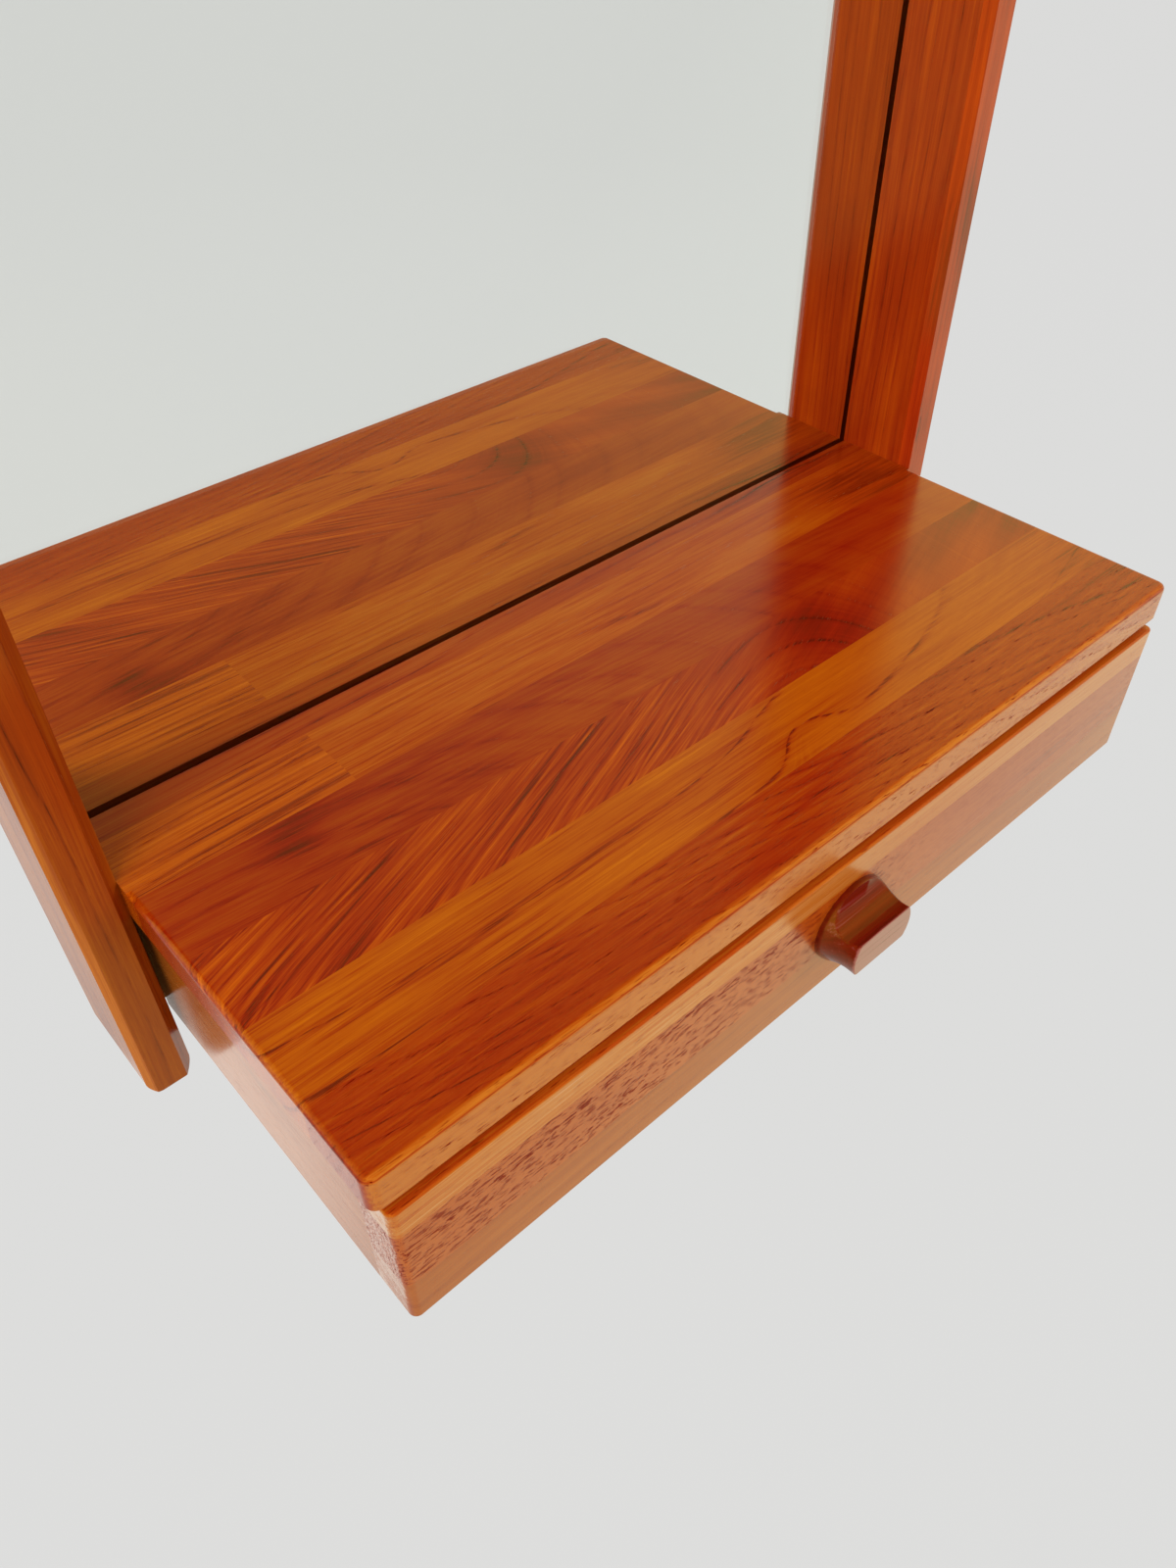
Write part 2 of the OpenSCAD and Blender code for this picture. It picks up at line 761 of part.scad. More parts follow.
// Turned pull with two finger scoops
module drawer_pull() {
    color(teak_dark) difference() {
        translate([0, front_y, pull_z]) rotate([90, 0, 0]) difference() {
            rotate_extrude() difference() {
                square([pull_r, pull_d]);
                translate(pull_cove_at) circle(pull_cove_r, $fn = 128);
            }
            for (s = [-1, 1]) translate([0, s * scoop_offset, scoop_depth]) rotate([0, 90, 0])
                cylinder(h = 2 * (pull_r + past), r = scoop_r, center = true);
        }
        at_pull_screw() screw_hole(pull_screw_d, pull_screw_l);
    }
}

// Puts its children behind the drawer front's centre, with +Z running forwards into the pull
module at_pull_screw() {
    translate([0, front_back_y - screw_sink, pull_z]) rotate([90, 0, 0]) children();
}

module pull_screw() {
    color(brass) at_pull_screw() wood_screw(pull_screw_d, pull_screw_l);
}

// Outline of a hanger plate, t thick and larger all round by play, its back on Y = 0
module plate_outline(t, play) {
    end_r = plate_h / 2 + play;
    end_x = (plate_w - plate_h) / 2;
    rotate([90, 0, 0]) linear_extrude(t) {
        translate([-end_x, -end_r]) square([2 * end_x, 2 * end_r]);
        for (s = [-1, 1]) translate([s * end_x, 0]) circle(end_r);
    }
}

// Puts its children at a plate's two screws, with +Z running forwards into the rail
module at_plate_screws() {
    for (s = [-1, 1]) translate([s * plate_screw_span / 2, -screw_sink, 0]) rotate([90, 0, 0]) children();
}

module hanger_plate() {
    difference() {
        plate_outline(plate_t, 0);
        translate([0, past, 0]) rotate([90, 0, 0]) cylinder(h = plate_t + 2 * past, d = hang_hole_d);
        at_plate_screws() screw_hole(plate_screw_d, plate_screw_l);
    }
}

module hanger_left() {
    color(steel) translate([-hang_span / 2, 0, 0]) hanger_plate();
}

module hanger_right() {
    color(steel) translate([hang_span / 2, 0, 0]) hanger_plate();
}

module hanger_screws() {
    color(steel) for (s = [-1, 1]) translate([s * hang_span / 2, 0, 0])
        at_plate_screws() wood_screw(plate_screw_d, plate_screw_l);
}

stile_left();
stile_right();
top_rail();
lower_rail();
top_rail_dowels();
lower_rail_dowels();
mirror_glass();
mirror_silvering();
back_panel();
glazing_sprigs();
shelf_rear_strip();
shelf_stave_1_left();
shelf_stave_1_right();
shelf_stave_2();
shelf_stave_3();
shelf_stave_4();
shelf_stave_5();
shelf_end_dowels();
shelf_rail_dowels();
runner_left();
runner_right();
runner_screws();
drawer_stops();
drawer_front_upper();
drawer_front_middle();
drawer_front_lower();
drawer_side_left_upper();
drawer_side_left_lower();
drawer_side_right_upper();
drawer_side_right_lower();
drawer_back();
drawer_bottom();
drawer_front_dowels();
drawer_back_dowels();
bottom_pins();
drawer_pull();
pull_screw();
hanger_left();
hanger_right();
hanger_screws();
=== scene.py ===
"""A teak wall mirror with a shelf and one drawer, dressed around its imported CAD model.

Metres throughout, in the CAD's own frame: +X to the right seen from the room, +Y back into the
wall, +Z up, and the origin on the wall midway between the two hanging holes.
"""
import math

import bpy
import numpy as np
from mathutils import Matrix, Vector


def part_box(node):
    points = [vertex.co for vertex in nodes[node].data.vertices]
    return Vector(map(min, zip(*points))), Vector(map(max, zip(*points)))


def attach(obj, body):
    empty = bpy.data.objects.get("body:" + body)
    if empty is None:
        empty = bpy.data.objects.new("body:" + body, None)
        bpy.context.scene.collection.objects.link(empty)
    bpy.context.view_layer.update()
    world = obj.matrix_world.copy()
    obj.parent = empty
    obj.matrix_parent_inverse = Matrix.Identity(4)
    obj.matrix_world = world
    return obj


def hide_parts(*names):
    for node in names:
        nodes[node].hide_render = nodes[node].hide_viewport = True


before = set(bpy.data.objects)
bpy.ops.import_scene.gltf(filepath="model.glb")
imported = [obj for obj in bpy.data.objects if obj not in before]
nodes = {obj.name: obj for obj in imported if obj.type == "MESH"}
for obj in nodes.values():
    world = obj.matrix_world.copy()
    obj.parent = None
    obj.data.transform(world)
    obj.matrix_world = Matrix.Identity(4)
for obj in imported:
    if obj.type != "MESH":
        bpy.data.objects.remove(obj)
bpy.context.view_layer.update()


# ---------------------------------------------------------------------------------------------
# Camera. It stands in front of the glass, a little above the shelf and left of its middle, and
# looks steeply down to the right, turned a little about its own line of sight.

camera_at = Vector((-0.25382, -0.32888, -0.36932))
camera_right = Vector((0.7448874, -0.66711876, -0.00976335))
camera_up = Vector((0.46188823, 0.50506205, 0.72908956))
camera_ahead = Vector((0.48145823, 0.5475992, -0.68434866))

lens = bpy.data.cameras.new("camera_lens")
lens.lens = 27.03
lens.sensor_width = 36
lens.clip_start = 0.01
lens.clip_end = 60
camera = bpy.data.objects.new("camera", lens)
bpy.context.collection.objects.link(camera)
turn = Matrix((camera_right, camera_up, -camera_ahead)).transposed()
camera.matrix_world = Matrix.Translation(camera_at) @ turn.to_4x4()
bpy.context.scene.camera = camera
bpy.context.scene.view_settings.view_transform = "Standard"


# ---------------------------------------------------------------------------------------------
# Room. A plain pale floor well below the hanging mirror, a pale haze all round it, and large
# soft lamps. Nothing here belongs to the object.

def linear(colour):
    """A colour written as sRGB hex, as the four linear numbers that shaders take."""
    parts = [int(colour[i:i + 2], 16) / 255 for i in (1, 3, 5)]
    return [p / 12.92 if p <= 0.04045 else ((p + 0.055) / 1.055) ** 2.4 for p in parts] + [1]


def add(tree, kind, settings=None, **links):
    """Adds a node. Each link names an input, `_` for a space or a number after `in`, and gives
    its value or the output that feeds it."""
    node = tree.nodes.new("ShaderNode" + kind)
    for name, value in (settings or {}).items():
        setattr(node, name, value)
    for name, value in links.items():
        key = int(name[2:]) if name[:2] == "in" and name[2:].isdigit() else name.replace("_", " ")
        socket = node.inputs[key]
        if isinstance(value, bpy.types.NodeSocket):
            tree.links.new(value, socket)
        else:
            socket.default_value = value
    return node


def reckon(tree, operation, *values, clamp=False):
    """One step of arithmetic on numbers or on outputs of the tree's nodes."""
    links = {f"in{i}": value for i, value in enumerate(values)}
    return add(tree, "Math", {"operation": operation, "use_clamp": clamp}, **links).outputs[0]


def ranged(tree, value, start, end, low=0.0, high=1.0):
    """A value that runs from `low` to `high` while the given one runs from start to end."""
    return add(tree, "MapRange", Value=value, in1=start, in2=end, in3=low, in4=high).outputs[0]


def new_material(name):
    """An empty material: its tree, ready for nodes, and the material itself."""
    material = bpy.data.materials.new(name)
    material.use_nodes = True
    material.node_tree.nodes.clear()
    return material, material.node_tree


def paint_ramp(node, stops):
    """Fills a colour ramp's stops: (position, sRGB hex or grey level)."""
    ramp = node.color_ramp
    for i, (at, value) in enumerate(stops):
        stop = ramp.elements[i] if i < 2 else ramp.elements.new(at)
        stop.position = at
        stop.color = linear(value) if isinstance(value, str) else (value, value, value, 1)
    return node.outputs[0]


floor_z = -1.45
floor_half = 9.0
paper = "#D0D0CE"
mesh = bpy.data.meshes.new("floor")
mesh.from_pydata(
    [(x * floor_half, y * floor_half, floor_z) for x, y in ((-1, -1), (1, -1), (1, 1), (-1, 1))],
    [], [(0, 1, 2, 3)])
floor = bpy.data.objects.new("floor", mesh)
bpy.context.collection.objects.link(floor)

# Seamless white paper, matt: its own brightness holds where the lamps fall off, and the mirror's
# soft shadow still falls on it. What the lacquer reflects of it is dimmer in front of the mirror
# and brighter towards the wall and to the right, as in a room with its windows to one side. It is
# brightest beside the drawer, dim and warm beside the left stile, and warm before the front.
material, tree = new_material("white_paper_matt")
path = add(tree, "LightPath").outputs
mirrored = reckon(tree, "SUBTRACT", path["Is Glossy Ray"], path["Is Transmission Ray"], clamp=True)
seen = reckon(tree, "MAXIMUM", path["Is Camera Ray"], path["Is Glossy Ray"])
seen = reckon(tree, "MAXIMUM", seen, path["Is Transmission Ray"])
own_share = reckon(tree, "MULTIPLY", seen, 0.9)
place = add(tree, "TexCoord").outputs["Object"]
spot = add(tree, "SeparateXYZ", in0=place).outputs

# brightness in the lacquer: rising back and to the right, with a bright band behind on the left
to_windows = (0.476, 0.63, 0)
across = add(tree, "VectorMath", {"operation": "DOT_PRODUCT"}, in0=place,
             in1=to_windows).outputs["Value"]
across = ranged(tree, across, -0.5, 0.4, 0.5, 1.4)
band = reckon(tree, "SUBTRACT", ranged(tree, spot["Y"], 0.1, 0.32, 0.0, 0.44),
              ranged(tree, spot["Y"], 0.48, 0.56, 0.0, 0.77))
left = reckon(tree, "MULTIPLY", ranged(tree, spot["X"], 0.0, -0.25), mirrored)
across = reckon(tree, "MULTIPLY_ADD", across, reckon(tree, "MULTIPLY", band, left), across)
across = add(tree, "Mix", {"data_type": "FLOAT"}, in0=mirrored, in2=1.0, in3=across).outputs[0]

# its colour: plain where it is seen, warm on the left and before the front
ahead = reckon(tree, "MULTIPLY", ranged(tree, spot["Y"], -0.15, -0.35), mirrored)
front = add(tree, "MixRGB", Fac=ranged(tree, spot["X"], 0.35, 0.85), Color1=(1.24, 1.24, 0.79, 1),
            Color2=(0.82, 0.92, 0.73, 1))
cast = add(tree, "MixRGB", Fac=left, Color1=linear("#DDDDDC"), Color2=(0.74, 0.725, 0.69, 1))
cast = add(tree, "MixRGB", Fac=ahead, Color1=cast.outputs[0], Color2=front.outputs[0])
own = add(tree, "Emission", Color=cast.outputs[0], Strength=across)
lit = add(tree, "BsdfDiffuse", Color=linear(paper))
mix = add(tree, "MixShader", in0=own_share, in1=lit.outputs[0], in2=own.outputs[0])
add(tree, "OutputMaterial", Surface=mix.outputs[0])
mesh.materials.append(material)

# The haze: pale where it is seen and at the height of the horizon, dimmer overhead and straight in
# front of the mirror, as in a room with a white floor and walls and an ordinary ceiling, which
# the lacquer reflects warmer than it is.
world = bpy.data.worlds.new("studio")
world.use_nodes = True
bpy.context.scene.world = world
tree = world.node_tree
tree.nodes.clear()
path = add(tree, "LightPath").outputs
seen = reckon(tree, "MAXIMUM", path["Is Glossy Ray"], path["Is Transmission Ray"])
mirrored = reckon(tree, "SUBTRACT", path["Is Glossy Ray"], path["Is Transmission Ray"], clamp=True)
aim = add(tree, "TexCoord").outputs["Generated"]
aim = add(tree, "SeparateXYZ", in0=aim).outputs
room = paint_ramp(add(tree, "ValToRGB", Fac=aim["Z"]),
                  [(0.5, "#F8F3E6"), (1.0, "#6A6866"), (0.68, "#D8D3C6")])
shown = add(tree, "MixRGB", Fac=seen, Color1=linear("#EEEEEE"), Color2=room)
warm = reckon(tree, "MULTIPLY", ranged(tree, aim["Z"], 0.05, 0.3), mirrored)
shown = add(tree, "MixRGB", {"blend_type": "MULTIPLY"}, Fac=warm, Color1=shown.outputs[0],
            Color2=(1, 1, 0.5, 1))
facing = ranged(tree, aim["Y"], -0.75, -0.4, -0.45, 0.35)
level = reckon(tree, "MULTIPLY_ADD", seen, facing, 1.0)
haze = add(tree, "Background", Color=shown.outputs[0], Strength=level)
add(tree, "OutputWorld", Surface=haze.outputs[0])


def lamp(name, at, aim_at, size, power):
    """A square soft box of the given side, turned to face a point. The glossy wood and the mirror
    don't show it as a shape of its own."""
    light = bpy.data.lights.new(name, "AREA")
    light.size = size
    light.energy = power
    box = bpy.data.objects.new(name, light)
    bpy.context.collection.objects.link(box)
    box.location = at
    box.rotation_mode = "QUATERNION"
    box.rotation_quaternion = (Vector(aim_at) - Vector(at)).to_track_quat("-Z", "Y")
    box.visible_glossy = False
    box.visible_transmission = False


lamp("key_soft_box", (-1.9, -1.5, 1.5), (0, -0.1, -0.5), 1.6, 55)
lamp("fill_soft_box", (1.8, -2.2, 0.6), (0, -0.1, -0.5), 1.4, 16)


# ---------------------------------------------------------------------------------------------
# Stiles. Two lengths of solid teak, 18 by 45 mm, planed flat along both front edges and
# lacquered thinly. The right one shows straight, fine grain with a few dark growth rings. The
# left one's outer face is painted paler: a painted reflection of the pale floor in its lacquer.

def teak(name, tones, heart, run, ring, wander=2.5, contrast=0.5, vein=0.6, line=0.9, pores=0.6,
         patches=0.9, fibres=0.8, layers=0.5, lay=None, crowd=1.0, uneven=1.6, bend=0.0,
         pore_size=(6.0, 0.42, 0.57), swirls=(), stains=(), fades=(), calm=None, gloss=0.2):
    """Teak under a thin, old oil lacquer, as real growth rings in space.

    The rings lie round the log's heart, a line through the point `heart` that `run` turns from
    +X, in degrees, and that `bend` curves, in thousandths of mm sideways per square mm. Each ring
    is `ring` mm wide, is closer to the next further out where `crowd` is over 1, wanders by
    `wander` mm, and begins with a dark vein `line` mm wide and with open pores: `pore_size` is
    their length and width in mm and how sparse they are.
    `layers` is how much the wood's tone changes from layer to layer, and `fibres` along the
    grain, which `lay` turns from +X where it isn't the log's own. `swirls` bulge the rings round
    a point, as a knot does: (point, reach in mm, bulge in mm). `stains` darken the
    wood round a point, where it has a stain of its own and where shade is painted: (point,
    reach in mm, share). `fades` add a share to its tone from one place to another along an
    axis, and several of them paint light and shade: (axis, start, end, share). `calm` says where
    the figure grows quieter, and as far again beyond, its veins and pores: (axis, start, end,
    figure left, veins left, pores left). `tones` run from vein to the palest wood. `contrast`,
    `vein`, `pores` and `patches` say how plainly the rings, their veins and pores and broad
    patches of tone show, and `gloss` how rough the lacquer is.
    """
    material, tree = new_material(name)
    place = add(tree, "TexCoord").outputs["Object"]

    def turned(angles):
        """Millimetres from the heart, in a frame whose X is turned by these angles."""
        return add(tree, "Mapping", {"vector_type": "TEXTURE"}, Vector=place, Location=heart,
                   Rotation=[math.radians(a) for a in angles], Scale=(0.001,) * 3).outputs[0]

    log = turned(run)
    grain = turned(lay) if lay else log

    def grained(along, across, detail=2.0):
        """Noise in the wood, `along` mm long and `across` mm wide, round 0.5."""
        scaled = add(tree, "VectorMath", {"operation": "MULTIPLY"}, in0=grain,
                     in1=(1 / along, 1 / across, 1 / across))
        return add(tree, "TexNoise", Vector=scaled.outputs[0], Scale=1.0, Detail=detail,
                   Roughness=0.55).outputs

    def sums(operation, a, b=0.0, clamp=False):
        """One step of arithmetic in this material."""
        return reckon(tree, operation, a, b, clamp=clamp)

    def about(value, share):
        """A value round 0.5, as a share either side of nothing."""
        return sums("MULTIPLY", sums("SUBTRACT", value, 0.5), share)

    def near(point, reach):
        """1 at the point, falling softly to nothing past its reach."""
        away = add(tree, "VectorMath", {"operation": "DISTANCE"}, in0=place,
                   in1=point).outputs["Value"]
        away = sums("POWER", sums("MULTIPLY", away, 1000 / reach), 2.0)
        return sums("EXPONENT", sums("MULTIPLY", away, -1.0))

    # the heart's own curve and wander, slow and quick
    bent = log
    if bend:
        along = add(tree, "SeparateXYZ", in0=log).outputs["X"]
        aside = sums("MULTIPLY", sums("MULTIPLY", along, along), -bend / 1000)
        aside = add(tree, "CombineXYZ", Y=aside).outputs[0]
        bent = add(tree, "VectorMath", {"operation": "ADD"}, in0=bent, in1=aside).outputs[0]
    for along, across, detail, size in ((130, 40, 1.0, wander * 3), (22, 9, 2.0, wander * 0.3)):
        drift = add(tree, "VectorMath", {"operation": "SUBTRACT"},
                    in0=grained(along, across, detail)["Color"], in1=(0.5, 0.5, 0.5))
        drift = add(tree, "VectorMath", {"operation": "SCALE"}, in0=drift.outputs[0], Scale=size)
        bent = add(tree, "VectorMath", {"operation": "ADD"}, in0=bent,
                   in1=drift.outputs[0]).outputs[0]
    flat = add(tree, "VectorMath", {"operation": "MULTIPLY"}, in0=bent, in1=(0, 1, 1))
    out = add(tree, "VectorMath", {"operation": "LENGTH"}, in0=flat.outputs[0]).outputs["Value"]
    for point, reach, bulge in swirls:
        out = sums("ADD", out, sums("MULTIPLY", near(point, reach), bulge))

    # rings of uneven width, counted outwards
    count = sums("POWER", sums("DIVIDE", out, ring), crowd)
    shift = add(tree, "TexNoise", {"noise_dimensions": "1D"}, W=count, Scale=0.45,
                Detail=1.0).outputs[0]
    count = sums("ADD", count, sums("MULTIPLY", shift, uneven))
    phase = sums("FRACT", count)
    which = add(tree, "TexWhiteNoise", {"noise_dimensions": "1D"},
                W=sums("FLOOR", count)).outputs["Value"]
    ring_tone = paint_ramp(add(tree, "ValToRGB", Fac=phase),
                           [(0.0, 0.42), (1.0, 0.34), (0.14, 0.55), (0.45, 0.62), (0.85, 0.5)])
    wide = min(0.4, line / ring)
    edge = paint_ramp(add(tree, "ValToRGB", Fac=phase),
                      [(0.0, 1.0), (1.0, 0.9), (wide * 0.5, 0.5), (wide, 0.0),
                       (1 - wide * 0.35, 0.0)])
    strength = sums("POWER", which, 1.3)
    broken = sums("MULTIPLY", sums("SUBTRACT", grained(14, 1.2)[0], 0.34), 3.4, True)
    dark = sums("MULTIPLY", sums("MULTIPLY", edge, strength), broken)

    # layers within the rings, long fibres, broad patches of tone, and the pores, short dark
    # dashes along the grain
    layer = add(tree, "TexNoise", {"noise_dimensions": "1D"}, W=out, Scale=0.55, Detail=3.0,
                Roughness=0.6).outputs[0]
    shown = sums("MULTIPLY", sums("SUBTRACT", grained(50, 7)[0], 0.3), 2.5, True)
    fibre = grained(45, 0.5, 3.0)[0]
    streak = grained(80, 1.8)[0]
    patch = grained(110, 16)[0]
    along, across, sparse = pore_size
    dash = ranged(tree, grained(along, across)[0], sparse, sparse + 0.1)
    open_wood = sums("ADD", sums("MULTIPLY", edge, 0.7), 0.3)
    pore = sums("MULTIPLY", sums("MULTIPLY", dash, open_wood), pores, True)

    level = about(ring_tone, contrast)
    for part in (sums("MULTIPLY", about(layer, layers), shown), about(fibre, fibres),
                 about(streak, fibres)):
        level = sums("ADD", level, part)
    if calm:
        axis, start, end, *left = calm
        at = add(tree, "SeparateXYZ", in0=place).outputs[axis]
        spans = ((start, end), (end, 2 * end - start), (end, 2 * end - start))
        level, dark, pore = [
            sums("MULTIPLY", part, ranged(tree, at, *span, 1.0, share))
            for part, span, share in zip((level, dark, pore), spans, left)]
    level = sums("SUBTRACT", level, sums("MULTIPLY", dark, vein))
    level = sums("ADD", level, about(patch, patches))
    for point, reach, depth in stains:
        level = sums("SUBTRACT", level, sums("MULTIPLY", near(point, reach), depth))
    for axis, start, end, share in fades:
        at = add(tree, "SeparateXYZ", in0=place).outputs[axis]
        level = sums("ADD", level, ranged(tree, at, start, end, 0.0, share))
    level = sums("ADD", level, 0.5)
    steps = [(i / (len(tones) - 1), tone) for i, tone in enumerate(tones)]
    palette = paint_ramp(add(tree, "ValToRGB", Fac=level), [steps[0], steps[-1]] + steps[1:-1])
    wood = add(tree, "MixRGB", {"blend_type": "MULTIPLY"}, Fac=sums("MULTIPLY", pore, 0.8),
               Color1=palette, Color2=linear("#A84416"))
    sheen = sums("ADD", sums("MULTIPLY", pore, 0.2), gloss)
    relief = sums("SUBTRACT", sums("MULTIPLY", fibre, 0.35), pore)
    bump = add(tree, "Bump", Strength=0.25, Distance=0.00008, Height=relief)
    shine = sums("SUBTRACT", 0.5, sums("MULTIPLY", pore, 0.46))
    coat = add(tree, "BsdfPrincipled", Base_Color=wood.outputs[0], Roughness=sheen, IOR=1.62,
               Specular_IOR_Level=shine, Specular_Tint=(1.0, 0.7, 0.1, 1.0),
               Normal=bump.outputs[0])
    add(tree, "OutputMaterial", Surface=coat.outputs[0])
    return material


def finish_with(material, *names):
    """Gives CAD nodes their finish in place of the plain one they were packed with."""
    for name in names:
        for slot in nodes[name].material_slots:
            slot.material = material


# Teak from dark vein to palest wood, red-brown as on the stiles
stile_tones = ("#501206", "#7C2608", "#8E3208", "#9E460A", "#BA6418")

# Turns from +X, in degrees, that lay the grain upright, across, and from front to back
upright = (0, -90, 0)
along_x = (0, 0, 0)
along_y = (0, 0, 90)
finish_with(teak("teak_stile_right_oiled", ("#6C1306", "#A12808", "#B43608", "#CA4C08", "#D8600C"),
                 (0.212, 0.022, -0.4), upright, 5.5, vein=0.5, fibres=0.5,
                 fades=(("Z", -0.45, -0.1, 0.2), ("Y", -0.0385, -0.0425, -0.25))),
            "stile_right")
# the outer face is painted paler: a painted reflection of the pale floor at a glancing angle
finish_with(teak("teak_stile_left_oiled", stile_tones, (-0.235, -0.07, -0.2), upright, 6.5,
                 vein=0.4, fibres=0.5, fades=(("X", -0.2145, -0.2165, 0.35),)), "stile_left")


# ---------------------------------------------------------------------------------------------
# Rails. The top rail and the lower rail join the stiles with dowels. They are teak of the same
# board, and only the top rail shows from the room, as the shelf and the drawer hide the lower one.

finish_with(teak("teak_rail_oiled", stile_tones, (0.05, -0.06, 0.03), along_x, 6, vein=0.5),
            "top_rail", "lower_rail")


# ---------------------------------------------------------------------------------------------
# Mirror. Clear float glass 3 mm thick, silvered on its back and painted over, stands in a
# rebate behind the stiles.

material, tree = new_material("mirror_glass_clear_float")
clear = add(tree, "BsdfPrincipled", Base_Color=linear("#FBFDFC"), Roughness=0.0, IOR=1.5,
            Transmission_Weight=1.0)
add(tree, "OutputMaterial", Surface=clear.outputs[0])
finish_with(material, "mirror_glass")

material, tree = new_material("mirror_silvering")
silver = add(tree, "BsdfPrincipled", Base_Color=linear("#FAFAF8"), Metallic=1.0, Roughness=0.0)
add(tree, "OutputMaterial", Surface=silver.outputs[0])


def skin(name, rings, material, body):
    """A closed surface through an array of rings (stations, points, 3): each ring is joined to
    the next by quads, and the first and the last are closed by one face each."""
    stations, points = rings.shape[:2]
    start = (np.arange(stations - 1) * points)[:, None]
    i = np.arange(points)[None, :]
    k = np.roll(np.arange(points), -1)[None, :]
    quads = np.stack([start + i, start + k, start + points + k, start + points + i], 2)
    faces = quads.reshape(-1, 4).tolist()
    faces += [list(range(points))[::-1], list(range((stations - 1) * points, stations * points))]
    mesh = bpy.data.meshes.new(name)
    mesh.from_pydata(rings.reshape(-1, 3).tolist(), [], faces)
    mesh.materials.append(material)
    piece = bpy.data.objects.new(name, mesh)
    bpy.context.collection.objects.link(piece)
    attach(piece, body)
    return piece


# The silver is chemically bonded, so its sheet bites 0.03 mm into the glass.
low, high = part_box("mirror_silvering")
bite = 0.00003
corners = np.array([(low.x, low.z), (high.x, low.z), (high.x, high.z), (low.x, high.z)])
sheet = np.stack([np.insert(corners, 1, y, axis=1) for y in (low.y - bite, high.y)])
silvering = skin("silvering", sheet, material, "mirror_frame")
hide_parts("mirror_silvering")


# ---------------------------------------------------------------------------------------------
# Shelf. One narrow strip and five staves of teak, edge-glued and planed flush, the first stave
# butt-jointed from two lengths. Each stave was sawn from its own board and shows its own figure.
# Towards the right stile they are painted darker: painted shade and the stile's dark reflection
# in the lacquer.

top_z = -0.6455  # the shelf's upper face
finish_with(
    teak("teak_rear_strip", ("#510D03", "#871803", "#A23203", "#A8440C", "#BB5214"),
         (0.0, -0.03, -0.70), (0, 0, 1), 4, vein=0.4, patches=0.7,
         # darker round its right end: painted shade and the right stile's dark reflection
         stains=(((0.17, -0.02, top_z), 50, 0.1),)),
    "shelf_rear_strip")
finish_with(
    teak("teak_stave_1_left", ("#671705", "#993105", "#B64C05", "#C25B07", "#D06A10"),
         (0.0, -0.06, -0.72), (0, 0, 1), 2.6, vein=0.35, pores=1.0, wander=1, patches=0.5,
         fibres=1.3),
    "shelf_stave_1_left")
finish_with(
    teak("teak_stave_1_right", ("#731902", "#A13102", "#B14803", "#B8580C", "#C66214"),
         (0.0, -0.055, -0.69), (0, 1.5, 0), 5, vein=0.35, pores=0.7,
         # darker round its right end: painted shade and the right stile's dark reflection
         stains=(((0.175, -0.035, top_z), 45, 0.3),), fibres=1.1,
         calm=("X", 0.0, 0.1, 0.5, 0.7, 0.7)),
    "shelf_stave_1_right")
finish_with(
    teak("teak_stave_2", ("#5D0A03", "#8B1103", "#9A2903", "#A33C04", "#B04506"),
         (-0.1883, -0.1167, top_z), (0, 30, 0), 5.5, crowd=0.8, vein=0.25, line=2.2, pores=0.4,
         layers=0.3, lay=(0, 2, -4),
         # the first dark patch is the wood's own stain; the second, on the right, is painted shade
         # and the right stile's dark reflection
         stains=(((-0.149, -0.064, top_z), 13, 0.35), ((0.12, -0.07, top_z), 60, 0.2)),
         calm=("X", 0.0, 0.06, 0.5, 0.2, 0.5), fades=(("X", 0.06, 0.12, 0.15),)),
    "shelf_stave_2")
finish_with(
    teak("teak_stave_3", ("#5B0D04", "#8A1504", "#9F2B04", "#AF4104", "#C35505"),
         (0.0017, -0.1676, top_z), (0, 39.6, 24.1), 9.3, wander=1.2, contrast=0.6, vein=0.5,
         line=1.6, pores=0.8, layers=2.0, fibres=1.2, lay=(0, 1, 20), bend=4.5, uneven=0.8,
         calm=("X", -0.02, 0.05, 0.15, 0.1, 0.6), stains=(((0.073, -0.103, top_z), 24, 0.3),),
         # darker towards the right: painted shade and the right stile's dark reflection
         fades=(("X", 0.12, 0.19, -0.3),)),
    "shelf_stave_3")
finish_with(
    teak("teak_stave_4", ("#6E1504", "#9B2E04", "#AA4704", "#B45304", "#C36506"),
         (-0.1022, -0.1111, top_z), (0, 10.2, 0), 9.5, wander=1, vein=0.95, line=0.9, crowd=0.75,
         uneven=0.0, fibres=1.1, lay=(0, 1, 0), swirls=(((0.017, -0.144, top_z), 14, 12),),
         # the fade darker towards the right is painted shade and the right stile's dark reflection
         calm=("X", -0.02, 0.05, 0.5, 0.4, 1.0), fades=(("X", 0.12, 0.19, -0.35),)),
    "shelf_stave_4")
finish_with(
    teak("teak_stave_5", ("#620D03", "#8E1703", "#9B2A03", "#A74004", "#B8621A"),
         (-0.19, -0.10, -0.62), (0, 3, -9), 5, pores=1.6, vein=0.5, lay=(0, 1, 0), fibres=0.75,
         patches=0.6, calm=("Y", -0.1735, -0.1765, 0.8, 0.1, 1.8),
         # darker towards the right: painted shade and the right stile's dark reflection. The pale
         # band along the top at the front is a painted highlight, and the thin dark line on the
         # rounded arris below it a painted reflection
         fades=(("X", 0.1, 0.19, -0.2), ("Y", -0.1774, -0.1797, 0.5),
                ("Z", -0.6468, -0.6470, -0.35), ("Z", -0.6473, -0.6475, 0.35))),
    "shelf_stave_5")
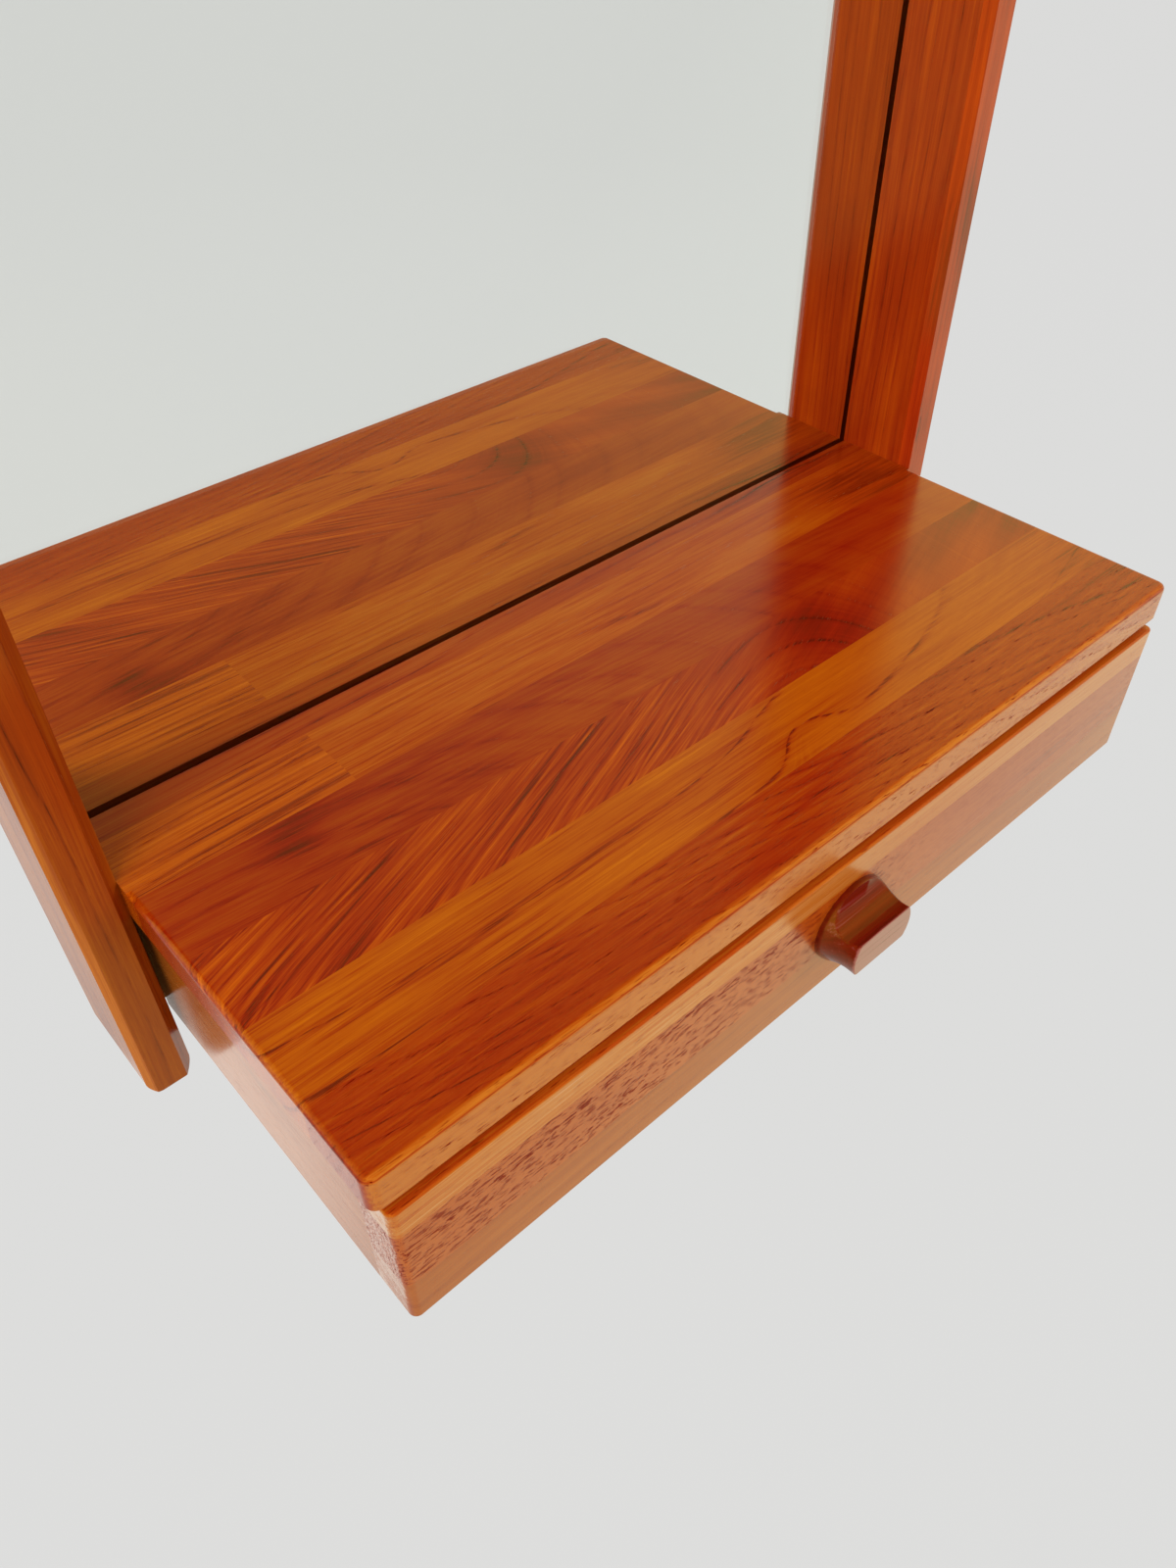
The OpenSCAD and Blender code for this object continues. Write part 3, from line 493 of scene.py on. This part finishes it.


# ---------------------------------------------------------------------------------------------
# Drawer front. Three staves edge-glued: a pale one above, a flecked one in the middle with coarse
# open pores on its left, and a plain one below. Their ends are painted paler than their faces.

pale_ends = (("X", -0.1962, -0.1967, 0.4), ("X", 0.1962, 0.1967, 0.4))
finish_with(
    teak("teak_front_upper", ("#A83808", "#B2520E", "#B96621", "#C27A3C", "#D0A484"),
         (0.0, -0.16, -0.62), along_x, 5, vein=0.3, wander=2, fibres=1.0, pores=1.2, patches=0.5,
         calm=("X", -0.08, 0.0, 0.5, 1.0, 0.5),
         # its top edge is painted darker: painted shade in the gap under the shelf
         fades=(("Z", -0.6667, -0.6657, -0.4),) + pale_ends),
    "drawer_front_upper")
finish_with(
    teak("teak_front_middle", ("#661004", "#A0380A", "#AA460C", "#B25012", "#C8A090"),
         (0.0, -0.12, -0.70), along_x, 3, vein=0.3, wander=1.5, contrast=0.35, fibres=0.7,
         patches=0.5, pores=3.0, pore_size=(4.0, 0.85, 0.51),
         calm=("X", -0.11, -0.03, 0.6, 0.5, 0.25),
         fades=(("X", 0.0, 0.06, -0.2),) + pale_ends),
    "drawer_front_middle")
finish_with(
    teak("teak_front_lower", ("#6A1306", "#963808", "#A0450C", "#AA5112", "#C8A08C"),
         (0.0, -0.14, -0.76), along_x, 5, vein=0.4, wander=2, fibres=0.6, patches=0.6,
         fades=pale_ends),
    "drawer_front_lower")


# ---------------------------------------------------------------------------------------------
# Drawer box. Two teak sides, each edge-glued from two boards, a beech back, and a bottom of thin
# birch plywood that is pinned up under the back.

side_tones = ("#6A2408", "#9A4A10", "#AA5818", "#B46622", "#C0762E")
finish_with(teak("teak_side_upper", side_tones, (-0.17, -0.1, -0.60), along_y, 5, vein=0.4),
            "drawer_side_left_upper", "drawer_side_right_upper")
finish_with(teak("teak_side_lower", side_tones, (-0.22, -0.1, -0.78), along_y, 5, vein=0.3),
            "drawer_side_left_lower", "drawer_side_right_lower")
beech_tones = ("#A87850", "#C49A6C", "#D0A87C", "#D8B48A", "#E0C098")
beech_long = teak("beech_planed", beech_tones, (0.02, -0.3, -0.9), along_x, 3, vein=0.15,
                  pores=0.35, contrast=0.3, patches=0.4, gloss=0.45)
finish_with(beech_long, "drawer_back")
finish_with(teak("birch_plywood_face", ("#C0986A", "#D4B48A", "#DEC298", "#E4CCA6", "#EAD6B4"),
                 (0.0, -0.1, -1.1), along_x, 7, vein=0.1, pores=0.15, contrast=0.35,
                 patches=0.5, gloss=0.5),
            "drawer_bottom")


# ---------------------------------------------------------------------------------------------
# Runners and stops. Waxed beech. The runners are screwed up into the shelf, and the stop pads are
# glued to the lower rail.

beech_deep = teak("beech_waxed", beech_tones, (-0.15, -0.1, -0.9), along_y, 3, vein=0.15,
                  pores=0.35, contrast=0.3, patches=0.4, gloss=0.35)
finish_with(beech_deep, "runner_left", "runner_right", "drawer_stops")


# ---------------------------------------------------------------------------------------------
# Dowels. Plain beech pegs, glued into the ends of the rails, the shelf and the drawer's pieces.

finish_with(beech_long, "top_rail_dowels", "lower_rail_dowels", "shelf_end_dowels",
            "drawer_back_dowels")
finish_with(beech_deep, "shelf_rail_dowels", "drawer_front_dowels")


# ---------------------------------------------------------------------------------------------
# Back panel. Thin hardboard behind the silvered glass: pressed brown fibre, smooth and dull.

material, tree = new_material("hardboard_pressed_fibre")
place = add(tree, "TexCoord").outputs["Object"]
fleck = add(tree, "TexNoise", Vector=place, Scale=900.0, Detail=4.0, Roughness=0.7).outputs[0]
cloud = add(tree, "TexNoise", Vector=place, Scale=22.0, Detail=2.0).outputs[0]
blend = reckon(tree, "MULTIPLY", reckon(tree, "ADD", cloud, fleck), 0.5)
fibre_board = paint_ramp(add(tree, "ValToRGB", Fac=blend),
                         [(0.3, "#3E2A1C"), (0.7, "#7C5A3C"), (0.5, "#5E412B")])
bump = add(tree, "Bump", Strength=0.2, Distance=0.0001, Height=fleck)
board = add(tree, "BsdfPrincipled", Base_Color=fibre_board, Roughness=0.62,
            Normal=bump.outputs[0])
add(tree, "OutputMaterial", Surface=board.outputs[0])
finish_with(material, "back_panel")


# ---------------------------------------------------------------------------------------------
# Metal. Brass screws, blued steel sprigs and pins, and zinc-plated hanger plates and screws.

def metal(name, dark, light, rough):
    """Plain metal with a cloudy tarnish between two colours and fine turning marks."""
    material, tree = new_material(name)
    place = add(tree, "TexCoord").outputs["Object"]
    cloud = add(tree, "TexNoise", Vector=place, Scale=260.0, Detail=3.0).outputs[0]
    tone = paint_ramp(add(tree, "ValToRGB", Fac=cloud), [(0.35, dark), (0.65, light)])
    wear = ranged(tree, cloud, 0.3, 0.7, rough, rough + 0.15)
    fine = add(tree, "TexNoise", Vector=place, Scale=4000.0, Detail=1.0).outputs[0]
    bump = add(tree, "Bump", Strength=0.1, Distance=0.00003, Height=fine)
    plate = add(tree, "BsdfPrincipled", Base_Color=tone, Metallic=1.0, Roughness=wear,
                Normal=bump.outputs[0])
    add(tree, "OutputMaterial", Surface=plate.outputs[0])
    return material


finish_with(metal("brass_tarnished", "#9A7434", "#C8A258", 0.28), "runner_screws", "pull_screw")
finish_with(metal("steel_blued", "#4A4A4E", "#76767A", 0.35), "glazing_sprigs", "bottom_pins")
finish_with(metal("zinc_plated_steel", "#8E9294", "#B8BCBE", 0.3), "hanger_left",
            "hanger_right", "hanger_screws")


# ---------------------------------------------------------------------------------------------
# Pull. Turned from dark teak on the lathe, with a finger scoop cut above and below and its
# arrises eased. It has the size and place of the CAD's pull, whose scoops are plain round cuts.

# in mm: the wall narrows from the foot to the face and is hollowed a little between them, and
# each scoop is an ellipse round a point `scoop_up` from the axis and `scoop_out` from the foot
pull_depth = 16.0
foot_r, foot_t = 18.0, 1.8
face_r = 15.8
hollow = 0.55
scoop_up, scoop_out = 17.3, 11.2
scoop_half_height, scoop_half_length = 10.8, 8.9
arris = 0.45

# how finely its surface is divided, how near a ring with no cut comes to a full circle, and the
# angle past which an edge is sharp
arc_points, cut_points = 41, 21
scoop_rings, arris_rings = 56, 4
nearly_full = 0.9998
sharp_past = math.radians(25)


def scooped_rings(out, radius, half):
    """Rings of a turned wall with a scoop above and below, in mm from the middle of its foot.
    The ring that stands `out` from the foot is a circle of the given radius between two level
    cuts at plus and minus `half`, less an arris at each corner. It runs round as arc, cut, arc
    and cut: x = radius cos a and z = radius sin a, with a up to asin(half / radius)."""
    half = np.minimum(half, radius * nearly_full)
    cut_x = np.sqrt(radius ** 2 - half ** 2)
    small = np.minimum(arris, 0.1 * cut_x)
    reach = np.arcsin((half - small) / radius)
    arc = np.outer(reach, np.linspace(-1, 1, arc_points))
    arc_x, arc_z = radius[:, None] * np.cos(arc), radius[:, None] * np.sin(arc)
    across = np.outer(cut_x - small, np.linspace(1, -1, cut_points))
    level = np.broadcast_to(half[:, None], across.shape)
    x = np.hstack([arc_x, across, -arc_x, -across])
    z = np.hstack([arc_z, level, -arc_z, -level])
    return np.stack([x, np.broadcast_to(-out[:, None], x.shape), z], 2)


# the foot, the wall with the scoops, and the eased edge of the face
scoop_start = scoop_out - scoop_half_length
swing = np.linspace(0, math.acos((scoop_out - pull_depth + arris) / scoop_half_length),
                    scoop_rings)
ease = np.linspace(0.25, 1, arris_rings) * math.pi / 2
stations = np.concatenate([(0, 0.6, 1.2, foot_t, scoop_start - 0.02),
                           scoop_out - scoop_half_length * np.cos(swing),
                           pull_depth - arris + arris * np.sin(ease)])
along = np.clip((stations - foot_t) / (pull_depth - foot_t), 0, 1)
wall_r = foot_r + (face_r - foot_r) * along - 4 * hollow * along * (1 - along)
cut_depth = np.sqrt(np.clip(1 - ((stations - scoop_out) / scoop_half_length) ** 2, 0, 1))
half = np.where(stations < scoop_start, foot_r, scoop_up - scoop_half_height * cut_depth)
inset = np.concatenate([np.zeros(len(stations) - arris_rings), arris * (1 - np.cos(ease))])
low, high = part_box("drawer_pull")
middle = np.array([(low.x + high.x) / 2, high.y, (low.z + high.z) / 2])
rings = scooped_rings(stations, wall_r - inset, half - inset)[::-1] / 1000 + middle
pull = skin(
    "pull", rings,
    teak("teak_pull_turned", ("#280302", "#4C0503", "#5E0804", "#701006", "#985650"),
         (0.01, -0.2, -0.72), along_x, 4, contrast=0.2, fibres=0.35, layers=0.3, patches=0.5,
         pores=0.3, vein=0.3, gloss=0.12,
         # painted shade darkens the foot where it meets the drawer front, and a painted reflection
         # of the pale floor makes the face paler
         fades=(("Y", -0.1830, -0.1842, 0.2), ("Y", -0.1966, -0.1976, 0.4))),
    "drawer")
pull.data.shade_smooth()
pull.data.set_sharp_from_angle(angle=sharp_past)
for flat_end in pull.data.polygons[-2:]:
    flat_end.use_smooth = False
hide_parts("drawer_pull")
